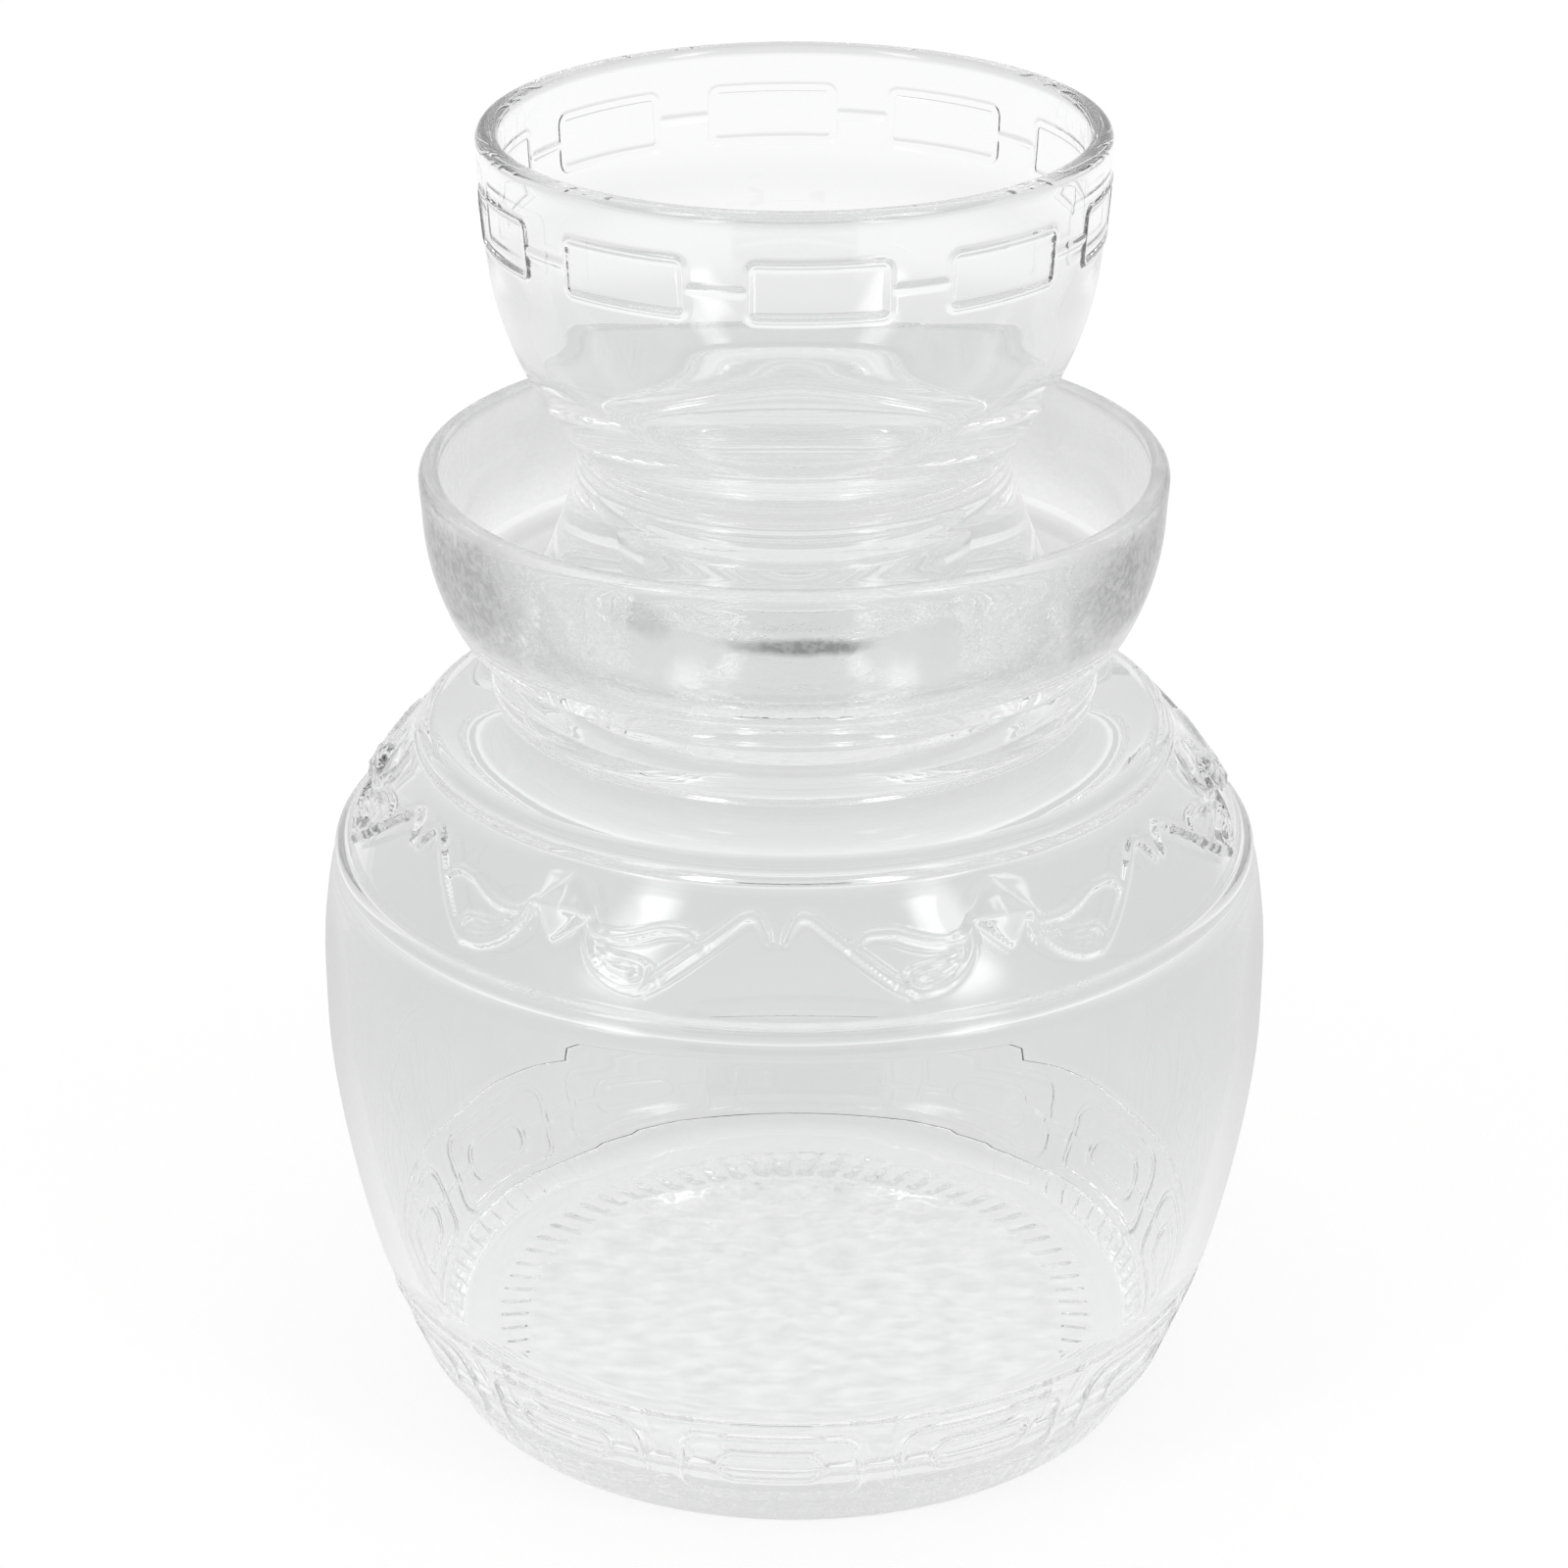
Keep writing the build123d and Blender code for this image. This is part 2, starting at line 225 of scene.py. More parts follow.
def ontoSide(outline, level, points):
    # Flat points of across, up and half width, laid square onto the front of a turned surface
    heights, radii = zip(*sorted((p[1], p[0]) for p in outline))
    placed = []
    for across, up, halfWidth in points:
        radius = np.interp(level + up, heights, radii)
        placed.append((across, -math.sqrt(radius**2 - across**2), level + up, halfWidth))
    return placed


def ontoTurn(outline, points):
    # Points of degrees round, height and half width on a turned surface
    heights, radii = zip(*sorted((p[1], p[0]) for p in outline))
    placed = []
    for degrees, height, halfWidth in points:
        radius, turn = np.interp(height, heights, radii), math.radians(degrees)
        placed.append((radius * math.sin(turn), -radius * math.cos(turn), height, halfWidth))
    return placed


# Node trees

def newTree(name, inputs):
    tree = bpy.data.node_groups.new(name, "GeometryNodeTree")
    tree.interface.new_socket("Geometry", in_out="INPUT", socket_type="NodeSocketGeometry")
    for label, kind in inputs:
        tree.interface.new_socket(label, in_out="INPUT", socket_type="NodeSocket" + kind)
    tree.interface.new_socket("Geometry", in_out="OUTPUT", socket_type="NodeSocketGeometry")
    tree.is_modifier = True
    return tree


def node(tree, kind, link=(), **settings):
    # A node with its settings, and its inputs joined to sockets or set to values
    made = tree.nodes.new(kind)
    for name, value in settings.items():
        setattr(made, name, value)
    for key, value in dict(link).items():
        if isinstance(value, bpy.types.NodeSocket):
            tree.links.new(value, made.inputs[key])
        else:
            made.inputs[key].default_value = value
    return made


def sums(tree, operation, first, second=0.0, third=0.0):
    return node(tree, "ShaderNodeMath", {0: first, 1: second, 2: third}, operation=operation).outputs[0]


def finishTree(tree, geometry, material):
    real = node(tree, "GeometryNodeRealizeInstances", {"Geometry": geometry})
    painted = node(tree, "GeometryNodeSetMaterial", {"Geometry": real.outputs[0], "Material": material})
    node(tree, "NodeGroupOutput", {0: painted.outputs[0]})


def lifted(tree, geometry, lift):
    # The surface moved along its own normal
    normal = node(tree, "GeometryNodeInputNormal").outputs[0]
    offset = node(tree, "ShaderNodeVectorMath", {0: normal, "Scale": lift}, operation="SCALE")
    return node(tree, "GeometryNodeSetPosition", {"Geometry": geometry, "Offset": offset.outputs[0]}).outputs[0]


def roundPlace(tree, place):
    # The angle from the front, the distance from the axis and the height of a place
    xyz = node(tree, "ShaderNodeSeparateXYZ", {0: place}).outputs
    angle = sums(tree, "ARCTAN2", xyz["X"], sums(tree, "MULTIPLY", xyz["Y"], -1.0))
    flat = node(tree, "ShaderNodeCombineXYZ", {"X": xyz["X"], "Y": xyz["Y"]})
    radius = node(tree, "ShaderNodeVectorMath", {0: flat.outputs[0]}, operation="LENGTH").outputs["Value"]
    return angle, radius, xyz["Z"]


def foldedTurn(tree, angle, radius, given):
    # How far round a place is from the middle of the nearest of the repeats
    half = sums(tree, "DIVIDE", math.pi, given["Count"])
    start = sums(tree, "SUBTRACT", angle, given["Phase"])
    return sums(tree, "MULTIPLY", sums(tree, "WRAP", start, half, sums(tree, "MULTIPLY", half, -1.0)), radius)


def shareWithin(tree, radius, height, given):
    # 1 inside one range of height and radius, fading to 0 at its edges
    share = 1.0
    for value, edge, sign in ((height, "Low", 1.0), (height, "High", -1.0), (radius, "Inner Radius", 1.0),
                              (radius, "Outer Radius", -1.0)):
        past = sums(tree, "MULTIPLY", sums(tree, "SUBTRACT", value, given[edge]), sign)
        fade = node(tree, "ShaderNodeClamp", {"Value": sums(tree, "DIVIDE", past, given["Fade"])}).outputs[0]
        share = sums(tree, "MULTIPLY", share, fade)
    return share


def raisedLinesTree():
    # Repeats a cloud of stroke points round the axis and lifts the glass near it to a round ridge
    tree = newTree("raisedLines", [("Strokes", "Object"), ("Count", "Int"), ("Phase", "Float"),
                                   ("Proud", "Float"), ("Material", "Material")])
    given = node(tree, "NodeGroupInput").outputs
    strokes = node(tree, "GeometryNodeObjectInfo", {"Object": given["Strokes"]}, transform_space="ORIGINAL")
    places = node(tree, "GeometryNodeMeshLine", {"Count": given["Count"], "Offset": (0, 0, 0)})
    index = node(tree, "GeometryNodeInputIndex").outputs[0]
    step = sums(tree, "DIVIDE", 2 * math.pi, given["Count"])
    turn = sums(tree, "MULTIPLY_ADD", index, step, given["Phase"])
    spin = node(tree, "ShaderNodeCombineXYZ", {"Z": turn})
    copies = node(tree, "GeometryNodeInstanceOnPoints", {
        "Points": places.outputs[0], "Instance": strokes.outputs["Geometry"], "Rotation": spin.outputs[0]})
    cloud = node(tree, "GeometryNodeRealizeInstances", {"Geometry": copies.outputs[0]}).outputs[0]
    nearest = node(tree, "GeometryNodeSampleNearest", {"Geometry": cloud}, domain="POINT")
    position = node(tree, "GeometryNodeInputPosition").outputs[0]
    place = node(tree, "GeometryNodeSampleIndex", {"Geometry": cloud, "Value": position,
                 "Index": nearest.outputs[0]}, data_type="FLOAT_VECTOR", domain="POINT")
    width = node(tree, "GeometryNodeInputNamedAttribute", {"Name": "halfWidth"}, data_type="FLOAT")
    halfWidth = node(tree, "GeometryNodeSampleIndex", {"Geometry": cloud, "Value": width.outputs[0],
                     "Index": nearest.outputs[0]}, data_type="FLOAT", domain="POINT")
    gap = node(tree, "ShaderNodeVectorMath", {0: position, 1: place.outputs[0]}, operation="DISTANCE")
    share = sums(tree, "DIVIDE", gap.outputs["Value"], halfWidth.outputs[0])
    inside = sums(tree, "MAXIMUM", sums(tree, "SUBTRACT", 1.0, sums(tree, "MULTIPLY", share, share)), 0.0)
    lift = sums(tree, "MULTIPLY", sums(tree, "POWER", inside, 1.5), given["Proud"])
    finishTree(tree, lifted(tree, given["Geometry"], lift), given["Material"])
    return tree


def raisedStudsTree():
    # Four-faced studs, repeated round the axis by folding the angle into one repeat
    tree = newTree("raisedStuds", [("Count", "Int"), ("Phase", "Float"), ("Level", "Float"), ("Half Width", "Float"),
                                   ("Half Height", "Float"), ("Proud", "Float"), ("Inner Radius", "Float"),
                                   ("Star", "Float"), ("Frame Share", "Float"), ("Frame Rise", "Float"),
                                   ("Material", "Material")])
    given = node(tree, "NodeGroupInput").outputs
    angle, radius, height = roundPlace(tree, node(tree, "GeometryNodeInputPosition").outputs[0])
    turned, above = foldedTurn(tree, angle, radius, given), sums(tree, "SUBTRACT", height, given["Level"])
    across = sums(tree, "DIVIDE", sums(tree, "ABSOLUTE", turned), given["Half Width"])
    up = sums(tree, "DIVIDE", sums(tree, "ABSOLUTE", above), given["Half Height"])
    inside = sums(tree, "MAXIMUM", sums(tree, "SUBTRACT", 1.0, sums(tree, "ADD", across, up)), 0.0)
    border = sums(tree, "MINIMUM", sums(tree, "MULTIPLY", inside, given["Frame Rise"]), 1.0)
    points = sums(tree, "ADD", sums(tree, "POWER", across, given["Star"]), sums(tree, "POWER", up, given["Star"]))
    star = sums(tree, "MAXIMUM", sums(tree, "SUBTRACT", 1.0, points), 0.0)
    outer = sums(tree, "GREATER_THAN", radius, given["Inner Radius"])
    shape = sums(tree, "MULTIPLY_ADD", border, given["Frame Share"], sums(tree, "MULTIPLY", star,
                 sums(tree, "SUBTRACT", 1.0, given["Frame Share"])))
    lift = sums(tree, "MULTIPLY", sums(tree, "MULTIPLY", shape, given["Proud"]), outer)
    finishTree(tree, lifted(tree, given["Geometry"], lift), given["Material"])
    return tree


def pressedSkinTree():
    # The small hills that a mould leaves in one range of height and radius, faded out at its edges
    tree = newTree("pressedSkin", [("Low", "Float"), ("High", "Float"), ("Inner Radius", "Float"),
                                   ("Outer Radius", "Float"), ("Fade", "Float"), ("Scale", "Float"),
                                   ("Detail", "Float"), ("Depth", "Float"), ("Material", "Material")])
    given = node(tree, "NodeGroupInput").outputs
    position = node(tree, "GeometryNodeInputPosition").outputs[0]
    radius, height = roundPlace(tree, position)[1:]
    share = shareWithin(tree, radius, height, given)
    noise = node(tree, "ShaderNodeTexNoise", {"Vector": position, "Scale": given["Scale"], "Detail": given["Detail"]})
    hills = sums(tree, "SUBTRACT", noise.outputs[0], 0.5)
    lift = sums(tree, "MULTIPLY", sums(tree, "MULTIPLY", hills, given["Depth"]), share)
    finishTree(tree, lifted(tree, given["Geometry"], lift), given["Material"])
    return tree


def addStage(piece, tree, values):
    modifier = piece.modifiers.new(tree.name, "NODES")
    modifier.node_group = tree
    for item in tree.interface.items_tree:
        if item.in_out == "INPUT" and item.name in values:
            modifier[item.identifier] = values[item.name]


def settled(piece):
    # The evaluated shape as a plain mesh, with no modifier left on the piece
    bpy.context.view_layer.update()
    shape = bpy.data.meshes.new_from_object(piece.evaluated_get(bpy.context.evaluated_depsgraph_get()))
    shape.name = piece.name
    piece.modifiers.clear()
    piece.data = shape
    shape.shade_smooth()


# Glass

def newMaterial(name):
    material = bpy.data.materials.new(name)
    material.use_nodes = True
    material.node_tree.nodes.clear()
    return material


def newMask(name, inputs, output):
    # A shader group of numbers, with the angle, radius and height of its place in radians and millimetres
    tree = bpy.data.node_groups.new(name, "ShaderNodeTree")
    tree.interface.new_socket("Place", in_out="INPUT", socket_type="NodeSocketVector")
    for label in inputs:
        tree.interface.new_socket(label, in_out="INPUT", socket_type="NodeSocketFloat")
    tree.interface.new_socket(output, in_out="OUTPUT", socket_type="NodeSocketFloat")
    given = node(tree, "NodeGroupInput").outputs
    larger = node(tree, "ShaderNodeVectorMath", {0: given["Place"], "Scale": 1 / mm}, operation="SCALE").outputs[0]
    return tree, given, *roundPlace(tree, larger)


def glassRipple():
    # Height in millimetres of the waves or grain on the glass, kept to one range of height and radius
    tree, given, _, radius, height = newMask("glassRipple", (
        "Scale", "Stretch", "Detail", "Depth", "Low", "High", "Inner Radius", "Outer Radius", "Fade"), "Height")
    stretch = node(tree, "ShaderNodeCombineXYZ", {"X": 1.0, "Y": 1.0, "Z": given["Stretch"]}).outputs[0]
    tall = node(tree, "ShaderNodeVectorMath", {0: given["Place"], 1: stretch}, operation="MULTIPLY").outputs[0]
    noise = node(tree, "ShaderNodeTexNoise", {"Vector": tall, "Scale": given["Scale"], "Detail": given["Detail"]})
    ripple = sums(tree, "MULTIPLY", noise.outputs[0], given["Depth"])
    node(tree, "NodeGroupOutput", {"Height": sums(tree, "MULTIPLY", ripple, shareWithin(tree, radius, height, given))})
    return tree


def pressedFrame():
    # Height in millimetres of a fine raised line round a rounded frame, repeated round the axis on the outside
    tree, given, angle, radius, height = newMask("pressedFrame", (
        "Count", "Phase", "Level", "Width", "Height", "Corner", "Half Line", "Depth", "Inner Radius", "Flare"),
        "Raised")
    above = sums(tree, "SUBTRACT", height, given["Level"])
    past = []
    for distance, size in ((foldedTurn(tree, angle, radius, given), "Width"), (above, "Height")):
        reach = sums(tree, "SUBTRACT", sums(tree, "MULTIPLY", given[size], 0.5), given["Corner"])
        past.append(sums(tree, "SUBTRACT", sums(tree, "ABSOLUTE", distance), reach))
    squares = [sums(tree, "POWER", sums(tree, "MAXIMUM", p, 0.0), 2.0) for p in past]
    outside = sums(tree, "SQRT", sums(tree, "ADD", *squares))
    inside = sums(tree, "MINIMUM", sums(tree, "MAXIMUM", *past), 0.0)
    fromLine = sums(tree, "SUBTRACT", sums(tree, "ADD", outside, inside), given["Corner"])
    gap = sums(tree, "DIVIDE", fromLine, given["Half Line"])
    line = sums(tree, "MAXIMUM", sums(tree, "SUBTRACT", 1.0, sums(tree, "MULTIPLY", gap, gap)), 0.0)
    skin = sums(tree, "MULTIPLY_ADD", above, given["Flare"], given["Inner Radius"])
    outer = sums(tree, "GREATER_THAN", radius, skin)
    raised = sums(tree, "MULTIPLY", sums(tree, "POWER", line, 1.5), given["Depth"])
    node(tree, "NodeGroupOutput", {"Raised": sums(tree, "MULTIPLY", raised, outer)})
    return tree


# Speckle and ragged edge of the painted shade on the moat's wall
shadeSpeckle = {"raggedScale": 160.0, "speckScale": 700.0, "speckFrom": 0.42, "speckTo": 0.58}


def greyPatch(z):
    # Painted shade: how much of the pressed wall's colour is kept round one grey, speckled patch of painted shade,
    # given by its degrees round and its height
    tree, given, angle, radius, height = newMask("greyPatch", (
        "Round", "Half Round", "Level", "Half Tall", "Soft", "Ragged", "Grain", "Strength", "Inner Radius"), "Clear")
    turn = sums(tree, "SUBTRACT", sums(tree, "DEGREES", angle), given["Round"])
    across = sums(tree, "DIVIDE", sums(tree, "WRAP", turn, 180.0, -180.0), given["Half Round"])
    up = sums(tree, "DIVIDE", sums(tree, "SUBTRACT", height, given["Level"]), given["Half Tall"])
    gap = sums(tree, "SQRT", sums(tree, "ADD", sums(tree, "POWER", across, 2.0), sums(tree, "POWER", up, 2.0)))
    ragged, speck = (
        node(tree, "ShaderNodeTexNoise", {"Vector": given["Place"], "Scale": scale, "Detail": detail}).outputs[0]
        for scale, detail in ((z["raggedScale"], 2.0), (z["speckScale"], 1.0)))
    gap = sums(tree, "ADD", gap, sums(tree, "MULTIPLY", sums(tree, "SUBTRACT", ragged, 0.5), given["Ragged"]))
    low, high = sums(tree, "SUBTRACT", 1.0, given["Soft"]), sums(tree, "ADD", 1.0, given["Soft"])
    mask = node(tree, "ShaderNodeMapRange", {"Value": gap, "From Min": low, "From Max": high, "To Min": 1.0,
                                             "To Max": 0.0}, interpolation_type="SMOOTHSTEP").outputs[0]
    speck = node(tree, "ShaderNodeMapRange", {
        "Value": speck, "From Min": z["speckFrom"], "From Max": z["speckTo"]}).outputs[0]
    kept = sums(tree, "SUBTRACT", 1.0, sums(tree, "MULTIPLY", speck, given["Grain"]))
    outer = sums(tree, "GREATER_THAN", radius, given["Inner Radius"])
    grey = sums(tree, "MULTIPLY", sums(tree, "MULTIPLY", mask, kept), sums(tree, "MULTIPLY", outer, given["Strength"]))
    node(tree, "NodeGroupOutput", {"Clear": sums(tree, "SUBTRACT", 1.0, grey)})
    return tree


ripple, frameLine, shadePatch = glassRipple(), pressedFrame(), greyPatch(shadeSpeckle)
everywhere = {"Low": -10.0, "High": 300.0, "Inner Radius": -10.0, "Outer Radius": 200.0, "Fade": 1.0}


def clearGlass(name, values):
    material = newMaterial(name)
    tree = material.node_tree
    place = node(tree, "ShaderNodeTexCoord").outputs["Object"]

    def placed(group, sizes):
        return node(tree, "ShaderNodeGroup", {"Place": place, **sizes}, node_tree=group).outputs[0]

    height = placed(ripple, {**everywhere, **values["ripples"][0]})
    for sizes in values["ripples"][1:]:
        height = sums(tree, "ADD", height, placed(ripple, {**everywhere, **sizes}))
    for sizes in values.get("frames", ()):
        height = sums(tree, "ADD", height, placed(frameLine, sizes))
    bump = node(tree, "ShaderNodeBump", {"Height": height, "Distance": mm})
    colour = (*values["colour"], 1)
    # Painted shade on the moat's outer wall: the glass colour is greyed where the wall is seen edge-on (Layer Weight)
    # and in set patches
    if "shadePatches" in values:
        edge = values["edge"]
        facing = node(tree, "ShaderNodeLayerWeight", {"Blend": 0.5}).outputs["Facing"]
        strength = node(tree, "ShaderNodeMapRange", {
            "Value": facing, "From Min": edge["from"], "From Max": edge["to"], "To Max": edge["grey"]}).outputs[0]
        clear = placed(shadePatch, {**moatWall, **edge["wall"], "Strength": strength})
        for sizes in values["shadePatches"]:
            clear = sums(tree, "MULTIPLY", clear, placed(shadePatch, sizes))
        # The glass colour times the painted shade
        colour = node(tree, "ShaderNodeMix", {0: 1.0, 6: colour, 7: clear}, data_type="RGBA",
                      blend_type="MULTIPLY").outputs[2]
    shader = node(tree, "ShaderNodeBsdfPrincipled", {
        "Base Color": colour, "Roughness": values["roughness"], "IOR": values["ior"],
        "Transmission Weight": 1.0, "Metallic": 0.0, "Normal": bump.outputs[0]})
    node(tree, "ShaderNodeOutputMaterial", {"Surface": shader.outputs[0]})
    return material


baseFrames = {
    "count": 12, "phase": -3.3, "level": 17.0, "width": 33.0, "height": 15.6, "corner": 4.0,
    "trackWidth": 19.5, "trackHeight": 7.2, "trackCorner": 3.59, "halfWidth": 1.3, "proud": 0.55,
    "halfLine": 0.7, "fine": 0.22, "skinRadius": 75.4, "flare": 0.388,
}
bowlFrames = {"count": 10, "phase": 4.4, "level": 236.0, "width": 24.0, "height": 10.0, "corner": 1.4,
              "halfWidth": 1.1, "proud": 0.34, "halfLine": 0.6, "fine": 0.1, "skinRadius": 54.4, "flare": 0.076}


def fineLine(z, width, height, corner):
    return {"Count": float(z["count"]), "Phase": math.radians(z["phase"]), "Level": z["level"], "Width": width,
            "Height": height, "Corner": corner, "Half Line": z["halfLine"], "Depth": z["fine"],
            "Inner Radius": z["skinRadius"], "Flare": z["flare"]}


# Shared sizes of the painted shade patches on the moat's outer wall
moatWall = {"Inner Radius": 65.4, "Soft": 0.7, "Ragged": 1.4, "Grain": 0.4}

jarGlass = clearGlass("jarGlass", {
    "colour": (0.975, 0.978, 0.978), "roughness": 0.01, "ior": 1.5,
    "ripples": [
        {"Scale": 30.0, "Stretch": 1.0, "Detail": 1.0, "Depth": 0.04},
        {"Scale": 560.0, "Stretch": 1.5, "Detail": 1.0, "Depth": 0.03, "Low": 157.0, "High": 184.0,
         "Inner Radius": 57.0, "Outer Radius": 75.0, "Fade": 4.0},
    ],
    "frames": [
        fineLine(baseFrames, baseFrames["width"], baseFrames["height"], baseFrames["corner"]),
        fineLine(baseFrames, baseFrames["trackWidth"], baseFrames["trackHeight"], baseFrames["trackCorner"]),
    ],
    # Painted shade: the moat's outer wall greyer where it is seen edge-on, all round its band, standing for the dark
    # edges of thick glass
    "edge": {"from": 0.3, "to": 0.8, "grey": 0.8,
             "wall": {"Half Round": 2000.0, "Level": 175.0, "Half Tall": 11.5, "Soft": 0.3, "Ragged": 0.3,
                      "Grain": 0.25}},
    # Painted shade and painted reflection on the moat's outer wall: the back half a little greyer, grey patches at both
    # sides and a small one left of the front, and a dark band at the front that stands for the reflected dark strip at
    # the lens
    "shadePatches": [
        {**moatWall, "Round": 180.0, "Half Round": 100.0, "Level": 172.0, "Half Tall": 16.0, "Strength": 0.2,
         "Ragged": 0.5, "Grain": 0.1},
        {**moatWall, "Round": -55.0, "Half Round": 9.0, "Level": 176.0, "Half Tall": 6.5, "Strength": 0.42},
        {**moatWall, "Round": 57.0, "Half Round": 9.0, "Level": 175.5, "Half Tall": 6.5, "Strength": 0.42},
        {**moatWall, "Round": -21.7, "Half Round": 4.0, "Level": 180.0, "Half Tall": 2.6, "Strength": 0.35,
         "Grain": 0.2},
        {**moatWall, "Round": 1.0, "Half Round": 9.0, "Level": 176.7, "Half Tall": 1.6, "Strength": 0.84, "Soft": 0.5,
         "Ragged": 0.9, "Grain": 0.15},
    ]})

lidGlass = clearGlass("lidGlass", {
    "colour": (0.985, 0.987, 0.987), "roughness": 0.01, "ior": 1.5,
    "frames": [fineLine(bowlFrames, bowlFrames["width"], bowlFrames["height"], bowlFrames["corner"])],
    "ripples": [{"Scale": 30.0, "Stretch": 1.0, "Detail": 1.0, "Depth": 0.03}]})

raisedLines, raisedStuds, pressedSkin = raisedLinesTree(), raisedStudsTree(), pressedSkinTree()


# Jar: vessel, neck and moat as one piece of glass

jarSizes = {
    "footRadius": 69.7, "standingWidth": 6.5, "pushUp": 3.6, "footEdge": 0.8, "footSwell": 0.3,
    "bevel": (73.6, 7.4), "stepOut": 0.6, "stepRise": 0.8,
    "bandFoot": (74.4, 8.8), "bandTop": (82.0, 28.4), "kinkDepth": 0.5,
    "bellyFoot": (82.7, 30.3), "bellyLow": (87.1, 49.8), "belly": (90.3, 79.0), "bellyHigh": (89.6, 99.1),
    "bellyWay": (0.27, 1), "bellyLeans": (-15, -12, 0), "highLean": 8,
    "lowerRidge": (86.6, 111.1), "upperRidge": (70.2, 134.0), "ridgeHalf": 2.0, "ridgeProud": 0.9,
    "lowerLean": 25, "middleLean": 36, "upperLean": 46, "domeLean": 66,
    "shoulderCrown": 0.8, "domeCrown": 1.4, "seat": (54.6, 141.2),
    "neckRing": (57.0, 143.6), "neckRingTop": (54.6, 146.0), "neck": (48.0, 150.2),
    "moatUnder": (61.6, 154.8), "moatBend": (66.3, 164.0), "rimFoot": (68.9, 178.2), "rim": (69.3, 184.5),
    "rimWay": (0.03, 1), "rimTop": 186.6, "moatWall": 4.2, "moatFloor": 159.0, "floorCorner": 2.6,
    "collar": 31.0, "collarWall": 4.0, "collarTop": 179.0, "funnel": 6.0,
    "wall": 4.0, "floorGlass": 5.4, "insideCorner": 12.0, "throat": 42.0, "throatEdge": 2.0, "domeEdge": (3, 0.6),
    "ribsInner": 51.0, "ribsOuter": 62.0, "bandMargin": 1.6, "shoulderMargin": 1.6,
    "underMiddle": 14, "pebbled": 50.0, "pebbledInner": 20, "floorMiddle": 8,
}


